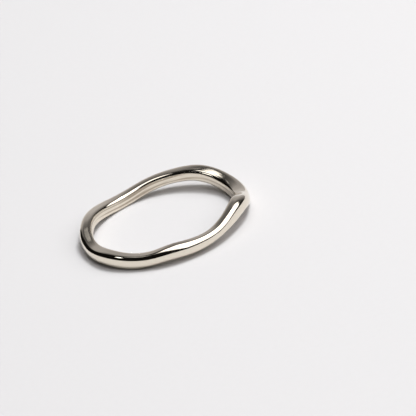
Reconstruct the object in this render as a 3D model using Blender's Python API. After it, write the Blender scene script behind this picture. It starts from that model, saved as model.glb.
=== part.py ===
"""Slim wavy stacking ring, cast in one piece of silver and polished.

The ring lies on its side. The finger hole is round, with its axis on +Z. The band is a soft
square wire that rises and dips as it goes round, and thickens where it rises most. It rests
on the undersides of its three dips, where wear has lapped small flats at z = 0.

Angles are counted from +X towards +Y. Metres, +Z up, origin on the floor at the middle.
"""
import bpy
import numpy as np

# driving sizes, in metres
FINGER_HOLE = 0.0172           # diameter of the round bore
BAND_HEIGHT = 0.00155          # along the finger
BAND_THICKNESS = 0.0016        # from the finger outwards
WAVE_LIFT = 0.0012             # how far the underside climbs off the floor at most
FLAT_DEPTH = 0.00004           # what wear has taken off the undersides of the dips

# form of the section
HOLE_SIDE_SQUARENESS = 4.5     # 2 is an ellipse, more is squarer
OUTER_SIDE_SQUARENESS = 2.6
OUTLINE_STEPS = 4001           # points that measure the section's outline

# fineness of the mesh
STEPS_ROUND = 120
STEPS_ACROSS = 28

# The band at stations round the ring: lift as a share of WAVE_LIFT, height of BAND_HEIGHT and
# thickness of BAND_THICKNESS, slope, how steeply the top and underside fall outwards, and
# crown, where the section is highest, as a share of its thickness.
STATION_COLUMNS = ("angle", "lift", "height", "thickness", "slope", "crown")
STATIONS = (
    (12, 0.00, 1.10, 1.20,  0.00, 0.50),     # dip, on the floor
    (35, 0.48, 1.03, 1.20, -0.06, 0.50),
    (54, 0.95, 0.98, 1.18, -0.11, 0.50),     # high crest
    (75, 0.90, 0.90, 1.12, -0.09, 0.45),     # and its long back
    (95, 0.52, 0.96, 1.01, -0.08, 0.42),
    (116, 0.00, 1.00, 1.10, -0.01, 0.45),    # dip, on the floor
    (138, 0.25, 0.99, 1.24,  0.00, 0.50),
    (160, 0.64, 0.98, 0.97,  0.00, 0.50),    # low crest
    (180, 0.45, 0.96, 0.97,  0.05, 0.50),
    (200, 0.16, 0.95, 0.98,  0.06, 0.50),
    (218, 0.14, 1.06, 1.03, -0.01, 0.60),
    (240, 0.00, 1.08, 1.01, -0.05, 0.65),    # dip, on the floor
    (254, 0.20, 0.97, 1.00,  0.00, 0.60),
    (268, 0.33, 1.07, 0.98,  0.03, 0.40),
    (280, 0.32, 1.05, 0.98,  0.03, 0.45),
    (292, 0.36, 0.96, 0.98, -0.06, 0.50),
    (306, 0.60, 0.86, 0.97, -0.05, 0.50),
    (324, 0.86, 1.14, 1.02, -0.08, 0.55),
    (340, 0.93, 1.14, 1.16,  0.06, 0.50),    # highest crest, and the thickest
    (355, 0.26, 1.12, 1.13,  0.02, 0.50),
)

SILVER_COLOUR = (0.93, 0.91, 0.87, 1.0)
SILVER_ROUGHNESS = 0.06


def clear_scene():
    """Remove whatever objects the open file holds."""
    for thing in list(bpy.data.objects):
        bpy.data.objects.remove(thing, do_unlink=True)


def smooth_round(column, angles):
    """Read a column of STATIONS at any angles, along a cubic spline that closes on itself."""
    table = np.array(STATIONS, float)
    at = table[:, 0]
    values = table[:, STATION_COLUMNS.index(column)]
    count = len(at)
    gap = (np.roll(at, -1) - at) % 360.0
    gap_before = np.roll(gap, 1)
    climb = (np.roll(values, -1) - values) / gap
    here = np.arange(count)
    matrix = np.zeros((count, count))
    matrix[here, here] = 2 * (gap + gap_before)
    matrix[here, (here + 1) % count] = gap
    matrix[here, (here - 1) % count] = gap_before
    bend = np.linalg.solve(matrix, 6 * (climb - np.roll(climb, 1)))
    start = at - at[0]
    turn = (angles - at[0]) % 360.0
    a = np.searchsorted(start, turn, side="right") - 1
    b = (a + 1) % count
    share = (turn - start[a]) / gap[a]
    line = (1 - share) * values[a] + share * values[b]
    bow = share * (1 - share) * gap[a] ** 2 * ((2 - share) * bend[a] + (1 + share) * bend[b])
    return line - bow / 6


def section(turn):
    """A superellipse, squarer towards the hole: across and up, each from -1 to 1."""
    cosine, sine = np.cos(turn), np.sin(turn)
    squareness = np.where(cosine < 0, HOLE_SIDE_SQUARENESS, OUTER_SIDE_SQUARENESS)
    across = np.sign(cosine) * np.abs(cosine) ** (2 / squareness)
    up = np.sign(sine) * np.abs(sine) ** (2 / squareness)
    return across, up


def even_turns():
    """Angles round the section that space its points evenly along its outline."""
    fine = np.linspace(0, 2 * np.pi, OUTLINE_STEPS)
    across, up = section(fine)
    step = np.hypot(np.diff(across) * BAND_THICKNESS, np.diff(up) * BAND_HEIGHT)
    travelled = np.concatenate(([0], np.cumsum(step)))
    wanted = np.arange(STEPS_ACROSS) * travelled[-1] / STEPS_ACROSS
    return np.interp(wanted, travelled, fine)


def band_points():
    """The band's surface: the section, sized at each angle and carried round the hole."""
    degrees = np.arange(STEPS_ROUND) * 360.0 / STEPS_ROUND
    radians = np.radians(degrees)[:, None]
    lift = smooth_round("lift", degrees)[:, None] * WAVE_LIFT
    height = smooth_round("height", degrees)[:, None] * BAND_HEIGHT
    thickness = smooth_round("thickness", degrees)[:, None] * BAND_THICKNESS
    slope = smooth_round("slope", degrees)[:, None]
    crown = smooth_round("crown", degrees)[:, None]
    across, up = section(even_turns())
    outward = thickness * (crown + across * np.where(across < 0, crown, 1 - crown))
    upward = lift + height / 2 * (1 + up) - slope * (outward - thickness / 2)
    radius = FINGER_HOLE / 2 + outward
    return np.stack((radius * np.cos(radians), radius * np.sin(radians), upward), axis=-1)


def rest_on_floor(points):
    """Lap the lowest FLAT_DEPTH flat, with the floor at z = 0 and the middle over the origin."""
    points = points.copy()
    points[..., 2] -= points[..., 2].min() + FLAT_DEPTH
    points[..., 2] = np.maximum(points[..., 2], 0)
    flat = points.reshape(-1, 3)
    points[..., :2] -= (flat.min(axis=0) + flat.max(axis=0))[:2] / 2
    return points


def silver():
    """Polished silver, a little warm."""
    material = bpy.data.materials.new("silver")
    material.use_nodes = True
    shader = material.node_tree.nodes["Principled BSDF"]
    shader.inputs["Base Color"].default_value = SILVER_COLOUR
    shader.inputs["Metallic"].default_value = 1.0
    shader.inputs["Roughness"].default_value = SILVER_ROUGHNESS
    return material


def make_band(collection):
    """Close the surface both ways into one solid, faces outwards."""
    points = rest_on_floor(band_points())
    a, b = np.meshgrid(np.arange(STEPS_ROUND), np.arange(STEPS_ACROSS), indexing="ij")
    next_a, next_b = (a + 1) % STEPS_ROUND, (b + 1) % STEPS_ACROSS
    corners = ((a, b), (next_a, b), (next_a, next_b), (a, next_b))
    faces = np.stack([i * STEPS_ACROSS + j for i, j in corners], axis=-1).reshape(-1, 4)
    mesh = bpy.data.meshes.new("ring_band")
    mesh.from_pydata(points.reshape(-1, 3).tolist(), [], faces.tolist())
    mesh.shade_smooth()
    mesh.materials.append(silver())
    band = bpy.data.objects.new("ring_band", mesh)
    collection.objects.link(band)
    return band


def main():
    clear_scene()
    collection = bpy.data.collections.new("Stackable ring")
    bpy.context.scene.collection.children.link(collection)
    make_band(collection)


main()
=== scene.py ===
# %% [markdown]
# # A slim wavy ring in polished silver
#
# A stacking ring is worn beside others, so it is slender, and this one rises and dips in a
# wave as it goes round. Polished silver has hardly a colour of its own: nearly all that the
# eye reads on it is the room, bent by the shape of the metal. So the lesson has three parts:
# a surface smooth and true enough to carry reflections, a finish with the faint marks that
# polishing leaves, and a plain studio that is worth reflecting.

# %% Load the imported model
import math

import bpy
import numpy as np
from mathutils import Matrix, Vector


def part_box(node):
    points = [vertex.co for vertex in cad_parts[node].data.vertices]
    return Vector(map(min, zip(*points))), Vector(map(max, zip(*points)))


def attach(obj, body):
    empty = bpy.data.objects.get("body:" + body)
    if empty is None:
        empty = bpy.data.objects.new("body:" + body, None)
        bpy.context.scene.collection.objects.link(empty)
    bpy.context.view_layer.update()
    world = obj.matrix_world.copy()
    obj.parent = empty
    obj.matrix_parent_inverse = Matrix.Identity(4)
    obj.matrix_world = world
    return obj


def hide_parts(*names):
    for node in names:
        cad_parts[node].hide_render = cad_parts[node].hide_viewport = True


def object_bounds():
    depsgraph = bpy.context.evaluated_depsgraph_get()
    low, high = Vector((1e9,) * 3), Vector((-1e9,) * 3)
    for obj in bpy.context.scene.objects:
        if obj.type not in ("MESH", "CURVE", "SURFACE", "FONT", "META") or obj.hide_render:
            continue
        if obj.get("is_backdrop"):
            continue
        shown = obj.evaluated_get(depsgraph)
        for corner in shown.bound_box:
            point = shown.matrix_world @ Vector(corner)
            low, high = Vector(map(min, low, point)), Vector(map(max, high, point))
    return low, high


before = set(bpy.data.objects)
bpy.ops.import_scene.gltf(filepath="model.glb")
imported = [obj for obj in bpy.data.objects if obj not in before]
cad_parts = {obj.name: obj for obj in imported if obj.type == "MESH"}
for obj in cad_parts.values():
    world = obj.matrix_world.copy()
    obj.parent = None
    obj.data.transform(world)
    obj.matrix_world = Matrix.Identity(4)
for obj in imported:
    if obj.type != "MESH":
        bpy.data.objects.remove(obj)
packed_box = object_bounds()
node_low, node_high = (np.array(corner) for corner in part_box("ring_band"))
print("packed ring, mm:", np.round((node_high - node_low) * 1000, 2))

# %% [markdown]
# ## The sizes of the ring
#
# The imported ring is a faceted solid, right in size and place but too coarse to mirror a room.
# The fine surface is worked out from the same sizes: a round finger hole, a band of a certain
# height and thickness, and a wave. A short table says how they change on the way round. Its
# numbers are shares of the sizes, so one size can be changed and the form follows.

# %% Sizes and stations
MM = 0.001
FINGER_HOLE = 17.2 * MM        # diameter
BAND_HEIGHT = 1.55 * MM        # along the finger
BAND_THICKNESS = 1.6 * MM      # from the finger outwards
WAVE_LIFT = 1.2 * MM           # how far the underside climbs off the floor at most
FLAT_DEPTH = 0.04 * MM         # what wear has taken off the undersides of the dips

STATION_COLUMNS = ("angle", "lift", "height", "thickness", "slope", "crown")
STATIONS = np.array((
    (12, 0.00, 1.10, 1.20,  0.00, 0.50),     # dip, on the floor
    (35, 0.48, 1.03, 1.20, -0.06, 0.50),
    (54, 0.95, 0.98, 1.18, -0.11, 0.50),     # high crest
    (75, 0.90, 0.90, 1.12, -0.09, 0.45),     # and its long back
    (95, 0.52, 0.96, 1.01, -0.08, 0.42),
    (116, 0.00, 1.00, 1.10, -0.01, 0.45),    # dip, on the floor
    (138, 0.25, 0.99, 1.24,  0.00, 0.50),
    (160, 0.64, 0.98, 0.97,  0.00, 0.50),    # low crest
    (180, 0.45, 0.96, 0.97,  0.05, 0.50),
    (200, 0.16, 0.95, 0.98,  0.06, 0.50),
    (218, 0.14, 1.06, 1.03, -0.01, 0.60),
    (240, 0.00, 1.08, 1.01, -0.05, 0.65),    # dip, on the floor
    (254, 0.20, 0.97, 1.00,  0.00, 0.60),
    (268, 0.33, 1.07, 0.98,  0.03, 0.40),
    (280, 0.32, 1.05, 0.98,  0.03, 0.45),
    (292, 0.36, 0.96, 0.98, -0.06, 0.50),
    (306, 0.60, 0.86, 0.97, -0.05, 0.50),
    (324, 0.86, 1.14, 1.02, -0.08, 0.55),
    (340, 0.93, 1.14, 1.16,  0.06, 0.50),    # highest crest, and the thickest
    (355, 0.26, 1.12, 1.13,  0.02, 0.50),
))
print("stations round the ring:", len(STATIONS))

# %% [markdown]
# ## Reading the table all the way round
#
# Straight lines between stations would give the band creases, and a polished surface shows
# every crease as a break in its reflections. A cubic spline has no break in slope or in
# bend. Joining its end to its start makes one small system of equations, a row for each
# station, that numpy solves at once.

# %% A spline that closes on itself
def smooth_round(column, degrees):
    """A column of the table at any angles: cubic pieces that share slope and bend at each
    station, the last joined to the first."""
    at = STATIONS[:, 0]
    values = STATIONS[:, STATION_COLUMNS.index(column)]
    count = len(at)
    gap = (np.roll(at, -1) - at) % 360.0
    gap_before = np.roll(gap, 1)
    climb = (np.roll(values, -1) - values) / gap
    here = np.arange(count)
    matrix = np.zeros((count, count))
    matrix[here, here] = 2 * (gap + gap_before)
    matrix[here, (here + 1) % count] = gap
    matrix[here, (here - 1) % count] = gap_before
    bend = np.linalg.solve(matrix, 6 * (climb - np.roll(climb, 1)))
    start = at - at[0]
    turn = (degrees - at[0]) % 360.0
    a = np.searchsorted(start, turn, side="right") - 1
    b = (a + 1) % count
    share = (turn - start[a]) / gap[a]
    line = (1 - share) * values[a] + share * values[b]
    bow = share * (1 - share) * gap[a] ** 2 * ((2 - share) * bend[a] + (1 + share) * bend[b])
    return line - bow / 6


print("lift at the long crest, mm:", np.round(smooth_round("lift", 66.0) * WAVE_LIFT / MM, 2))

# %% [markdown]
# ## The section of the band
#
# Cut through the band and the metal is a soft square: flat where it meets the finger, with
# small rounded corners there, and fuller and rounder outside. A superellipse draws that with
# two numbers. It raises the sine and cosine of a circle to a power: 2 is an ellipse, and more
# pushes it out towards a square. The finger side gets the higher number.

# %% A soft square
HOLE_SIDE_SQUARENESS = 4.5
OUTER_SIDE_SQUARENESS = 2.6
OUTLINE_STEPS = 20001          # points that measure the section's outline
STEPS_ROUND = 900
STEPS_ACROSS = 96


def section(turn):
    """Across and up, each from -1 to 1, at angles round the section: the sign of the cosine or
    sine times its size to the power 2 / squareness."""
    cosine, sine = np.cos(turn), np.sin(turn)
    squareness = np.where(cosine < 0, HOLE_SIDE_SQUARENESS, OUTER_SIDE_SQUARENESS)
    across = np.sign(cosine) * np.abs(cosine) ** (2 / squareness)
    up = np.sign(sine) * np.abs(sine) ** (2 / squareness)
    return across, up


def even_turns(count):
    """Angles that space the section's points evenly along its outline."""
    fine = np.linspace(0, 2 * np.pi, OUTLINE_STEPS)
    across, up = section(fine)
    step = np.hypot(np.diff(across) * BAND_THICKNESS, np.diff(up) * BAND_HEIGHT)
    travelled = np.concatenate(([0], np.cumsum(step)))
    return np.interp(np.arange(count) * travelled[-1] / count, travelled, fine)


print("points on one section:", STEPS_ACROSS)

# %% [markdown]
# ## Carrying the section round the hole
#
# The surface is a function of two parameters, the angle round the ring and the place on the
# section, so it is one numpy grid: every row a section, every column a line that runs round
# the band. The section is sized at each angle and stood outwards from a true circle, which
# keeps the finger hole round whatever the outside does.

# %% The band as a grid of points
degrees = np.arange(STEPS_ROUND) * 360.0 / STEPS_ROUND
theta = np.radians(degrees)[:, None]


def band_grid():
    """Points of the band, and their place in the section as outward and upward lengths."""
    height = smooth_round("height", degrees)[:, None] * BAND_HEIGHT
    thickness = smooth_round("thickness", degrees)[:, None] * BAND_THICKNESS
    slope = smooth_round("slope", degrees)[:, None]
    lift = smooth_round("lift", degrees)[:, None] * WAVE_LIFT
    crown = smooth_round("crown", degrees)[:, None]
    across, up = section(even_turns(STEPS_ACROSS))
    outward = thickness * (crown + across * np.where(across < 0, crown, 1 - crown))
    upward = height / 2 * up - slope * (outward - thickness / 2)
    radius = FINGER_HOLE / 2 + outward
    points = np.stack((radius * np.cos(theta), radius * np.sin(theta),
                       lift + height / 2 + upward), axis=-1)
    return points, outward, upward


def set_on_floor(points):
    """Lap the lowest FLAT_DEPTH flat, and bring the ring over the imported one."""
    points = points.copy()
    points[..., 2] -= points[..., 2].min() + FLAT_DEPTH
    points[..., 2] = np.maximum(points[..., 2], 0)
    flat = points.reshape(-1, 3)
    middle = (flat.min(axis=0) + flat.max(axis=0)) / 2
    points[..., :2] += ((node_low + node_high) / 2 - middle)[:2]
    return points, -middle[:2]


points, outward, upward = band_grid()
print("longest step round the band, mm:", np.round(
    np.linalg.norm(points - np.roll(points, 1, axis=0), axis=-1).max() / MM, 3))

# %% [markdown]
# ## What the hand leaves
#
# No hand-polished surface is mathematically true. The buff leaves it uneven by about a
# thousandth of a millimetre, in waves two to six millimetres long: far too little to see as
# form, but a mirror doubles every tilt, so straight reflections come back slightly wavering.
# The left end of this ring is the least true, by a hundredth or so. The unevenness is
# a sum of waves that each run a whole number of times round the ring and round the section,
# so it closes without a seam.

# %% Faint unevenness
RIPPLE = 0.0012 * MM           # how far the surface strays at most
END_RIPPLE = 0.015 * MM        # and how much further at the left end
END_ANGLE = 186.0              # the left end's middle, degrees round the ring
END_WIDTH = 13.0               # degrees in which its share of the unevenness falls off
WAVE_COUNT = 16
WAVE_SEED = 11
TURNS_ROUND = (10, 30)         # from the first number up to the second, without it
TURNS_ACROSS = (-3, 4)


def outward_normals(grid):
    """Unit normals: the cross product of the steps between neighbours both ways round."""
    along = np.roll(grid, -1, axis=0) - np.roll(grid, 1, axis=0)
    across = np.roll(grid, -1, axis=1) - np.roll(grid, 1, axis=1)
    normal = np.cross(along, across)
    return normal / np.linalg.norm(normal, axis=-1, keepdims=True)


def waves():
    """Sine waves of whole turn numbers and chance phases, summed and scaled to one at most."""
    chance = np.random.default_rng(WAVE_SEED)
    turn = 2 * np.pi * np.arange(STEPS_ACROSS) / STEPS_ACROSS
    total = np.zeros((STEPS_ROUND, STEPS_ACROSS))
    for _ in range(WAVE_COUNT):
        turns_round = chance.integers(*TURNS_ROUND)
        turns_across = chance.integers(*TURNS_ACROSS)
        phase = chance.uniform(0, 2 * np.pi)
        total += np.sin(turns_round * theta + turns_across * turn + phase)
    return total / np.abs(total).max()


at_end = np.exp(-((degrees[:, None] - END_ANGLE) / END_WIDTH) ** 2)
uneven = waves() * (RIPPLE + END_RIPPLE * at_end)
points = points + outward_normals(points) * uneven[..., None]
points, hole_middle = set_on_floor(points)
print("unevenness, thousandths of a mm:", round(float(uneven.std() / MM * 1000), 2))
print("fine ring, mm:", np.round(np.ptp(points.reshape(-1, 3), axis=0) / MM, 2))

# %% [markdown]
# ## From grid to mesh
#
# Both directions close on themselves, so the grid has no edge: the last row joins the first,
# and so does the last column. The corner numbers of all faces come from one meshgrid. The
# mesh also keeps, at each point, its place in the section. The finish uses it later to run
# polishing lines along the band and to tell the finger hole from the outside.

# %% The ring as a mesh
def closed_grid_mesh(name, grid):
    """A mesh of quads over a grid that wraps round both ways."""
    rows, columns = grid.shape[:2]
    a, b = np.meshgrid(np.arange(rows), np.arange(columns), indexing="ij")
    next_a, next_b = (a + 1) % rows, (b + 1) % columns
    corners = ((a, b), (next_a, b), (next_a, next_b), (a, next_b))
    faces = np.stack([i * columns + j for i, j in corners], axis=-1).reshape(-1, 4)
    mesh = bpy.data.meshes.new(name)
    mesh.from_pydata(grid.reshape(-1, 3).tolist(), [], faces.tolist())
    mesh.shade_smooth()
    return mesh


ring_mesh = closed_grid_mesh("polished_band", points)
place = np.stack((outward, upward, np.zeros_like(outward)), axis=-1)
stored = ring_mesh.attributes.new("section_place", "FLOAT_VECTOR", "POINT")
stored.data.foreach_set("vector", place.reshape(-1).astype(np.float32))
ring = bpy.data.objects.new("polished_band", ring_mesh)
bpy.context.scene.collection.objects.link(ring)
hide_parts("ring_band")
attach(ring, "root")
print("faces of the band:", len(ring_mesh.polygons))

# %% [markdown]
# ## The finish: reading the section
#
# Silver is bright and a little warm, and the finish is in what lies on it. Three things can
# be seen. Lines run along the band, where it was drawn against the buff. The finger hole was
# only rubbed with a fine stick, so it is satin, with dark streaks of painted reflection of
# shade.
# And wear has left hairlines that run any way. Each becomes a small node group that puts out
# a mask, and one material decides what the masks do.
#
# Lines that follow a curved band need coordinates that follow it too. Adding the place in the
# section, scaled up a lot, to the place in space, scaled up a little, stretches a noise into
# streaks: it changes fast across the band and slowly along it.

# %% Lines along the band
LINES_SEED = 5.0               # picks one pattern out of many
LINE_SCALES = (("Fine", 8000.0, 160.0), ("Streaks", 2600.0, 110.0))    # across and along


def add(tree, kind, settings=None, **values):
    """A new node: its settings by name, then its inputs, with underscores for spaces."""
    made = tree.nodes.new(kind)
    for name, value in (settings or {}).items():
        setattr(made, name, value)
    for name, value in values.items():
        made.inputs[name.replace("_", " ")].default_value = value
    return made


def new_group(name, *outputs):
    """A node group with no inputs that puts out the named values, and its output node."""
    group = bpy.data.node_groups.new(name, "ShaderNodeTree")
    for output in outputs:
        group.interface.new_socket(output, in_out="OUTPUT", socket_type="NodeSocketFloat")
    return group, group.nodes.new("NodeGroupOutput")


def lines_along_band():
    """Two noises drawn out along the band: Fine, near a tenth of a millimetre from line to
    line, and Streaks, about a third of a millimetre wide. Their fourth coordinate is held at
    LINES_SEED."""
    group, out = new_group("lines_along_band", "Fine", "Streaks")
    place = add(group, "ShaderNodeAttribute", {"attribute_name": "section_place"})
    space = add(group, "ShaderNodeTexCoord")
    for output, across, along in LINE_SCALES:
        fast = add(group, "ShaderNodeVectorMath", {"operation": "SCALE"}, Scale=across)
        slow = add(group, "ShaderNodeVectorMath", {"operation": "SCALE"}, Scale=along)
        both = add(group, "ShaderNodeVectorMath", {"operation": "ADD"})
        noise = add(group, "ShaderNodeTexNoise", {"noise_dimensions": "4D"},
                    W=LINES_SEED, Scale=1.0, Detail=2.0, Roughness=0.55)
        group.links.new(place.outputs["Vector"], fast.inputs[0])
        group.links.new(space.outputs["Object"], slow.inputs[0])
        group.links.new(fast.outputs["Vector"], both.inputs[0])
        group.links.new(slow.outputs["Vector"], both.inputs[1])
        group.links.new(both.outputs["Vector"], noise.inputs["Vector"])
        group.links.new(noise.outputs["Fac"], out.inputs[output])
    return group


band_lines = lines_along_band()
print("group:", band_lines.name, "puts out", [s.name for s in band_lines.interface.items_tree])

# %% [markdown]
# ## The finish: where the finger hole is, and what wear does
#
# The stored place in the section also says how far a point is from the finger. Close to zero
# is the wall of the hole, so a smooth step on that length is its mask. Hairlines come from
# another use of noise: the places where a stretched noise passes its middle value form long
# thin curves, and two of them at an angle cross each other as real scratches do.

# %% The hole's mask, and wear
HOLE_EDGE = (0.01 * MM, 0.07 * MM)     # outwards from the hole, where its mask fades
CLOUD_SCALE = 330.0
HAIRLINE_TURNS = ((0.5, 0.3, 0.6), (-0.7, 0.4, -0.9))      # radians about x, y and z
HAIRLINE_SCALES = (180.0, 1300.0, 700.0)
NOISE_MIDDLE = 0.5
HAIRLINE_WIDTH = 0.008         # how near to its middle value the noise draws a line


def finger_hole_mask():
    """One on the wall of the finger hole, zero outside, with a soft step between them."""
    group, out = new_group("finger_hole_mask", "Hole")
    place = add(group, "ShaderNodeAttribute", {"attribute_name": "section_place"})
    split = add(group, "ShaderNodeSeparateXYZ")
    step = add(group, "ShaderNodeMapRange", {"interpolation_type": "SMOOTHSTEP"},
               From_Min=HOLE_EDGE[0], From_Max=HOLE_EDGE[1], To_Min=1.0, To_Max=0.0)
    group.links.new(place.outputs["Vector"], split.inputs["Vector"])
    group.links.new(split.outputs["X"], step.inputs["Value"])
    group.links.new(step.outputs["Result"], out.inputs["Hole"])
    return group


def wear():
    """Cloudy: soft patches a few millimetres wide. Hairlines: thin curves in two directions."""
    group, out = new_group("wear", "Cloudy", "Hairlines")
    space = add(group, "ShaderNodeTexCoord")
    cloud = add(group, "ShaderNodeTexNoise", Scale=CLOUD_SCALE, Detail=2.0, Roughness=0.5)
    either = add(group, "ShaderNodeMath", {"operation": "MAXIMUM"})
    group.links.new(space.outputs["Object"], cloud.inputs["Vector"])
    group.links.new(cloud.outputs["Fac"], out.inputs["Cloudy"])
    group.links.new(either.outputs["Value"], out.inputs["Hairlines"])
    for i, turn in enumerate(HAIRLINE_TURNS):
        stretch = add(group, "ShaderNodeMapping", Rotation=turn, Scale=HAIRLINE_SCALES)
        noise = add(group, "ShaderNodeTexNoise", Scale=1.0, Detail=0.0)
        thin = add(group, "ShaderNodeMath", {"operation": "COMPARE"})
        thin.inputs[1].default_value = NOISE_MIDDLE
        thin.inputs[2].default_value = HAIRLINE_WIDTH
        group.links.new(space.outputs["Object"], stretch.inputs["Vector"])
        group.links.new(stretch.outputs["Vector"], noise.inputs["Vector"])
        group.links.new(noise.outputs["Fac"], thin.inputs[0])
        group.links.new(thin.outputs["Value"], either.inputs[i])
    return group


hole_mask, wear_masks = finger_hole_mask(), wear()
print("groups:", hole_mask.name, "and", wear_masks.name)

# %% [markdown]
# ## The finish: one material
#
# The material mixes two colours, the bright silver and a dark brown that only shows in streaks
# inside the hole, as a painted reflection of shade. Roughness is low outside and a few times as
# high in the hole. The lines and hairlines are less than a thousandth of a millimetre deep,
# which a bump node can carry: it tilts the light without moving the surface.

# %% Polished silver
SILVER = (0.805, 0.742, 0.635, 1.0)
# painted reflection of shade: the dark brown of the streaks in the hole
PAINTED_REFLECTION_BROWN = (0.44, 0.37, 0.29, 1.0)
PAINTED_REFLECTION_RANGE = (0.43, 0.58)   # values of Streaks at which the painted reflection starts and is full
POLISH_RANGE = (0.06, 0.12)    # roughness, where Cloudy is low and where it is high
SATIN = 0.22                   # how much rougher the finger hole is
LINE_DEPTH = 0.0003 * MM


def use(tree, group):
    """A node that runs a group."""
    runner = tree.nodes.new("ShaderNodeGroup")
    runner.node_tree = group
    return runner


def polished_silver():
    """Silver whose colour, roughness and slope follow the three groups."""
    material = bpy.data.materials.new("polished_silver")
    material.use_nodes = True
    tree = material.node_tree
    link, shader = tree.links.new, tree.nodes["Principled BSDF"]
    shader.inputs["Metallic"].default_value = 1.0
    lines, hole, worn = use(tree, band_lines), use(tree, hole_mask), use(tree, wear_masks)

    # Painted reflection of shade: dark streaks mixed into the colour inside the hole.
    streaky = add(tree, "ShaderNodeMapRange", {"interpolation_type": "SMOOTHSTEP"},
                  From_Min=PAINTED_REFLECTION_RANGE[0], From_Max=PAINTED_REFLECTION_RANGE[1])
    painted_reflection = add(tree, "ShaderNodeMath", {"operation": "MULTIPLY"})
    colour = add(tree, "ShaderNodeMix", {"data_type": "RGBA"}, A=SILVER, B=PAINTED_REFLECTION_BROWN)
    link(lines.outputs["Streaks"], streaky.inputs["Value"])
    link(streaky.outputs["Result"], painted_reflection.inputs[0])
    link(hole.outputs["Hole"], painted_reflection.inputs[1])
    link(painted_reflection.outputs["Value"], colour.inputs["Factor"])
    link(colour.outputs["Result"], shader.inputs["Base Color"])

    cloudy = add(tree, "ShaderNodeMapRange", From_Min=0.3, From_Max=0.7,
                 To_Min=POLISH_RANGE[0], To_Max=POLISH_RANGE[1])
    satin = add(tree, "ShaderNodeMath", {"operation": "MULTIPLY_ADD"})
    satin.inputs[1].default_value = SATIN
    link(worn.outputs["Cloudy"], cloudy.inputs["Value"])
    link(hole.outputs["Hole"], satin.inputs[0])
    link(cloudy.outputs["Result"], satin.inputs[2])
    link(satin.outputs["Value"], shader.inputs["Roughness"])

    marks = add(tree, "ShaderNodeMath", {"operation": "SUBTRACT"})
    bump = add(tree, "ShaderNodeBump", Strength=1.0, Distance=LINE_DEPTH)
    link(lines.outputs["Fine"], marks.inputs[0])
    link(worn.outputs["Hairlines"], marks.inputs[1])
    link(marks.outputs["Value"], bump.inputs["Height"])
    link(bump.outputs["Normal"], shader.inputs["Normal"])
    return material


ring_mesh.materials.append(polished_silver())
print("nodes in the silver:", len(ring_mesh.materials[0].node_tree.nodes))

# %% [markdown]
# ## The table top
#
# The ring lies on a pale matt board that runs out of the picture on every side. It is stage
# and no part of the ring, but it matters to it twice over: it takes the shadows, and its light
# is what the lower half of the silver mirrors, as a broad cream band. Its grain is too fine to
# see as texture, and only keeps the board from looking like a void.

# %% A pale matt board
BOARD_TONES = {"A": (0.565, 0.556, 0.560, 1.0), "B": (0.580, 0.571, 0.576, 1.0)}
BOARD_RADIUS = 1.6
GRAIN_SCALE = 1500.0


def pale_board():
    """Off-white and matt, with a grain that shifts its tone by a hundredth or so."""
    board = bpy.data.materials.new("pale_board")
    board.use_nodes = True
    tree = board.node_tree
    look = tree.nodes["Principled BSDF"]
    look.inputs["Roughness"].default_value = 0.9
    look.inputs["Specular IOR Level"].default_value = 0.1
    space = add(tree, "ShaderNodeTexCoord")
    grain = add(tree, "ShaderNodeTexNoise", Scale=GRAIN_SCALE, Detail=3.0)
    tone = add(tree, "ShaderNodeMix", {"data_type": "RGBA"}, **BOARD_TONES)
    tree.links.new(space.outputs["Object"], grain.inputs["Vector"])
    tree.links.new(grain.outputs["Fac"], tone.inputs["Factor"])
    tree.links.new(tone.outputs["Result"], look.inputs["Base Color"])
    return board


def table_top():
    """A wide disc at z = 0."""
    bpy.ops.mesh.primitive_circle_add(vertices=96, radius=BOARD_RADIUS, fill_type="NGON")
    disc = bpy.context.object
    disc.name = "table_top"
    disc.data.materials.append(pale_board())
    disc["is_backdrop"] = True
    return disc


board = table_top()
print("table top, m across:", round(board.dimensions.x, 2))

# %% [markdown]
# ## Light that silver can mirror
#
# A lamp lights a matt thing, but polished metal shows a picture of the lamp, so here the
# shapes of the lights matter more than their strength. Directions make them easy to place:
# azimuth 0 is straight away from the camera and 90 to its right, and elevation is the angle
# above the table.
#
# The main light is a softbox right overhead, brighter than white, and the white bands along
# the silver are its mirror image. It is a glowing sheet, so it can have any outline. Its far
# and left edges were found from the photograph: wherever a white band ends on the ring, the
# form of the silver there says in which direction the light ends. Its rim fades, as the cloth
# of a softbox does towards its frame. A small dim panel beyond its far edge fades nearly from
# its middle. The left end of the ring mirrors it as one soft streak.

# %% The softbox overhead
CEILING = 0.8                  # the softbox's height above the table
PANEL_HEIGHT = CEILING * 1.02
SOFTBOX_RADIANCE, SOFTBOX_SOFTNESS = 1.95, 0.05
PANEL_RADIANCE, PANEL_SOFTNESS = 0.55, 0.95
WARM_WHITE = (1.0, 0.985, 0.98, 1.0)
SOFTBOX_CORNERS = ((-0.26, 0.42), (-0.29, 0.16), (-0.12, -0.36), (0.75, -2.1), (3.2, -1.2),
                   (2.6, 0.45), (1.0, 0.66), (0.66, 0.87), (0.12, 0.95), (0.06, 0.91),
                   (0.02, 0.78), (-0.06, 0.62), (-0.20, 0.62))
GREY_PANEL_CORNERS = ((-0.17, 1.06), (-0.05, 1.04), (0.01, 1.07), (0.0, 1.14),
                      (-0.10, 1.17), (-0.18, 1.13))


def direction(azimuth, elevation):
    """A unit vector, from angles in degrees."""
    a, e = math.radians(azimuth), math.radians(elevation)
    return Vector((math.sin(a) * math.cos(e), math.cos(a) * math.cos(e), math.sin(e)))


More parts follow.
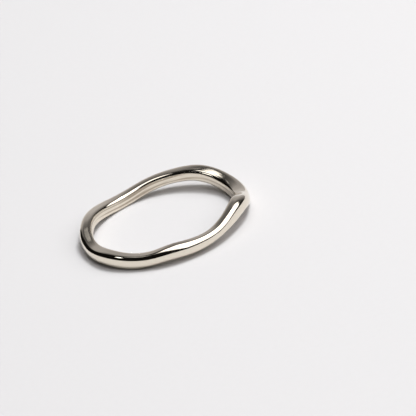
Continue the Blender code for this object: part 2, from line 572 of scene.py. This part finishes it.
def glow(name, radiance):
    """Black but for its own light, which the sheet's glow attribute turns down at the rim."""
    material = bpy.data.materials.new(name)
    material.use_nodes = True
    tree = material.node_tree
    shader = tree.nodes["Principled BSDF"]
    shader.inputs["Base Color"].default_value = (0, 0, 0, 1)
    shader.inputs["Emission Color"].default_value = WARM_WHITE
    share = add(tree, "ShaderNodeAttribute", {"attribute_name": "glow"})
    strength = add(tree, "ShaderNodeMath", {"operation": "MULTIPLY"})
    strength.inputs[1].default_value = radiance
    tree.links.new(share.outputs["Fac"], strength.inputs[0])
    tree.links.new(strength.outputs["Value"], shader.inputs["Emission Strength"])
    return material


def glowing_sheet(name, corners, height, radiance, softness):
    """A level sheet of light. Its corners are given to the right and away, as shares of its
    height. It has two outlines, smaller and larger by softness: full bright within the inner
    one, dark at the outer."""
    rim = np.array(corners)
    middle, count = rim.mean(axis=0), len(rim)
    outlines = [middle + (rim - middle) * scale for scale in (1 - softness, 1 + softness)]
    spots = [(x * height, y * height, height) for x, y in np.concatenate(outlines).tolist()]
    fading = [(i, (i + 1) % count, count + (i + 1) % count, count + i) for i in range(count)]
    mesh = bpy.data.meshes.new(name)
    mesh.from_pydata(spots, [], [tuple(range(count))] + fading)
    share = mesh.attributes.new("glow", "FLOAT", "POINT")
    share.data.foreach_set("value", np.repeat((1.0, 0.0), count).astype(np.float32))
    mesh.materials.append(glow(name, radiance))
    sheet = bpy.data.objects.new(name, mesh)
    bpy.context.scene.collection.objects.link(sheet)
    sheet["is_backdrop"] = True
    return sheet


softbox = glowing_sheet("overhead_softbox", SOFTBOX_CORNERS, CEILING,
                        SOFTBOX_RADIANCE, SOFTBOX_SOFTNESS)
grey_panel = glowing_sheet("grey_panel", GREY_PANEL_CORNERS, PANEL_HEIGHT,
                           PANEL_RADIANCE, PANEL_SOFTNESS)
print("softbox, m:", [round(side, 2) for side in softbox.dimensions[:2]])

# %% [markdown]
# ## A key for the shadows
#
# A softbox that fills the sky gives next to no shadow. The key is smaller and much brighter,
# and it hangs just under the softbox, where the silver mirrors it as white on white and the
# eye doesn't find it. It only shows in what it does to the table: a clear shadow with a soft
# edge. It is a little cooler than the softbox, so the shadows, lit by the softbox alone, turn
# slightly warm. A narrow window high on the left makes the one light fleck on the near arm.

# %% Key and window
COOL_WHITE = (0.98, 1.0, 1.01)
LIGHT_DISTANCE = 0.8
KEY_SIDE, KEY_RADIANCE = 0.22, 31.0
WINDOW_LENGTH, WINDOW_WIDTH, WINDOW_RADIANCE = 0.24, 0.08, 3.4
WINDOW_ALONG = direction(-52, 61) - direction(-102, 43)


def soft_panel(name, centre, along, length, width, radiance):
    """A rectangular area light at centre that faces the ring, its long side along."""
    data = bpy.data.lights.new(name, "AREA")
    data.shape = "RECTANGLE"
    data.size, data.size_y = length, width
    data.energy = radiance * math.pi * length * width
    data.color = COOL_WHITE
    out = Vector(centre).normalized()
    side = Vector(along)
    side = (side - side.dot(out) * out).normalized()
    panel = bpy.data.objects.new(name, data)
    panel.matrix_world = Matrix((
        (*side, 0), (*out.cross(side), 0), (*out, 0), (*centre, 1))).transposed()
    bpy.context.scene.collection.objects.link(panel)
    return panel


key = soft_panel("key", direction(70, 66) * LIGHT_DISTANCE, (0, 1, 0),
                 KEY_SIDE, KEY_SIDE, KEY_RADIANCE)
window = soft_panel("narrow_window", direction(-88, 52) * LIGHT_DISTANCE, WINDOW_ALONG,
                    WINDOW_LENGTH, WINDOW_WIDTH, WINDOW_RADIANCE)
print("key, watts:", round(key.data.energy, 2), " window, watts:", round(window.data.energy, 2))

# %% [markdown]
# ## The room
#
# What is left is the room itself, and most of it is dark. That is where the black lines on
# the silver come from, and without them it would look like grey plastic. Only the wall beyond
# the ring is pale. It is brightest near the table and darkens upwards, and the gap between its
# top and the softbox is what draws the dark edge beside each white band. The wall is a colour
# ramp on the height of the viewing direction. It ends sharply on the left and fades slowly on
# the right. Each end is a smooth step on how far a direction lies beyond an upright plane,
# which is its dot product with a level direction square to that plane.

# %% A dark room with one pale wall
LEFT_END = direction(64, 0)        # square to a plane at azimuth -26, and pointing right
RIGHT_END = direction(-60, 0)      # square to a plane at azimuth 30, and pointing left
WALL_ENDS = ((LEFT_END, 0.07), (RIGHT_END, 0.6))       # each with its softness
WALL_TONES = ((0.0, 0.60), (0.20, 0.56), (0.33, 0.44), (0.46, 0.40),
              (0.56, 0.20), (0.64, 0.12), (0.76, 0.012))       # height and brightness
WALL_TINT = (1.0, 0.965, 0.975)
DARKNESS = (0.005, 0.0045, 0.004, 1)


def room():
    """A world: the ramp of WALL_TONES by height between the two ends of the wall, else dark."""
    world = bpy.data.worlds.new("room")
    bpy.context.scene.world = world
    world.use_nodes = True
    tree = world.node_tree
    where = add(tree, "ShaderNodeTexCoord")
    between = add(tree, "ShaderNodeMath", {"operation": "MULTIPLY"})
    for i, (end, softness) in enumerate(WALL_ENDS):
        beyond = add(tree, "ShaderNodeVectorMath", {"operation": "DOT_PRODUCT"})
        beyond.inputs[1].default_value = end
        step = add(tree, "ShaderNodeMapRange", {"interpolation_type": "SMOOTHSTEP"},
                   From_Min=-softness, From_Max=softness)
        tree.links.new(where.outputs["Generated"], beyond.inputs[0])
        tree.links.new(beyond.outputs["Value"], step.inputs["Value"])
        tree.links.new(step.outputs["Result"], between.inputs[i])
    split = add(tree, "ShaderNodeSeparateXYZ")
    wall = add(tree, "ShaderNodeValToRGB")
    stops = wall.color_ramp.elements
    while len(stops) < len(WALL_TONES):
        stops.new(1.0)
    for stop, (height, tone) in zip(stops, WALL_TONES):
        stop.position = height
        stop.color = (*(tone * tint for tint in WALL_TINT), 1)
    mix = add(tree, "ShaderNodeMix", {"data_type": "RGBA"}, A=DARKNESS)
    link = tree.links.new
    link(where.outputs["Generated"], split.inputs["Vector"])
    link(split.outputs["Z"], wall.inputs["Fac"])
    link(between.outputs["Value"], mix.inputs["Factor"])
    link(wall.outputs["Color"], mix.inputs["B"])
    link(mix.outputs["Result"], tree.nodes["Background"].inputs["Color"])
    return world


print("world:", room().name, "with", len(WALL_TONES), "wall tones")

# %% [markdown]
# ## The camera
#
# The photograph looks down at the ring from 26 degrees, from quite close, through a long
# lens, and it is tipped to one side. The order of the steps matters: the camera is first
# stood at its angle and distance, then rolled, and only then turned, so that the middle of
# the finger hole falls on its place in the frame.

# %% Camera
LENS = 204.5
SENSOR = 36.0
FRAME_PIXELS = 416
CAMERA_DISTANCE = 0.278
CAMERA_ELEVATION = 26.3
CAMERA_ROLL = 15.5
RING_AT = (163.5, 216.5)       # where the hole's middle shows in the photograph's frame
EYE_LEVEL = 1.28 * MM          # the height on the hole's axis that RING_AT belongs to


def place_camera():
    """Stand the camera back from the hole's middle, roll it, then turn it by the angle that
    puts the middle on RING_AT."""
    e, roll = math.radians(CAMERA_ELEVATION), math.radians(CAMERA_ROLL)
    back = Vector((0, -math.cos(e), math.sin(e)))
    level, up = Vector((1, 0, 0)), Vector((0, math.sin(e), math.cos(e)))
    right = level * math.cos(roll) - up * math.sin(roll)
    above = level * math.sin(roll) + up * math.cos(roll)
    target = Vector((*hole_middle, EYE_LEVEL))
    eye = target + back * CAMERA_DISTANCE
    pixel = CAMERA_DISTANCE * SENSOR / (LENS * FRAME_PIXELS)
    aim = (target + right * (FRAME_PIXELS / 2 - RING_AT[0]) * pixel
           + above * (RING_AT[1] - FRAME_PIXELS / 2) * pixel)
    back = (eye - aim).normalized()
    right = (right - right.dot(back) * back).normalized()
    above = back.cross(right)
    camera = bpy.data.objects.new("camera", bpy.data.cameras.new("camera"))
    camera.data.lens, camera.data.sensor_width = LENS, SENSOR
    camera.matrix_world = Matrix((
        (*right, 0), (*above, 0), (*back, 0), (*eye, 1))).transposed()
    bpy.context.scene.collection.objects.link(camera)
    bpy.context.scene.camera = camera
    return camera


camera = place_camera()
bpy.context.scene.view_settings.view_transform = "Standard"
print("camera, m:", [round(length, 3) for length in camera.location])

# %% [markdown]
# ## Comparing sizes
#
# The finished ring must be the imported ring in a better coat, so the boxes round the two are
# compared once more.

# %% Compare the boxes
sizes = {"cad": [list(corner) for corner in packed_box],
         "visual": [list(corner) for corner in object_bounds()]}
apart = np.abs(np.array(sizes["visual"]) - np.array(sizes["cad"])).max()
print("largest difference between the boxes, mm:", round(float(apart / MM), 3))
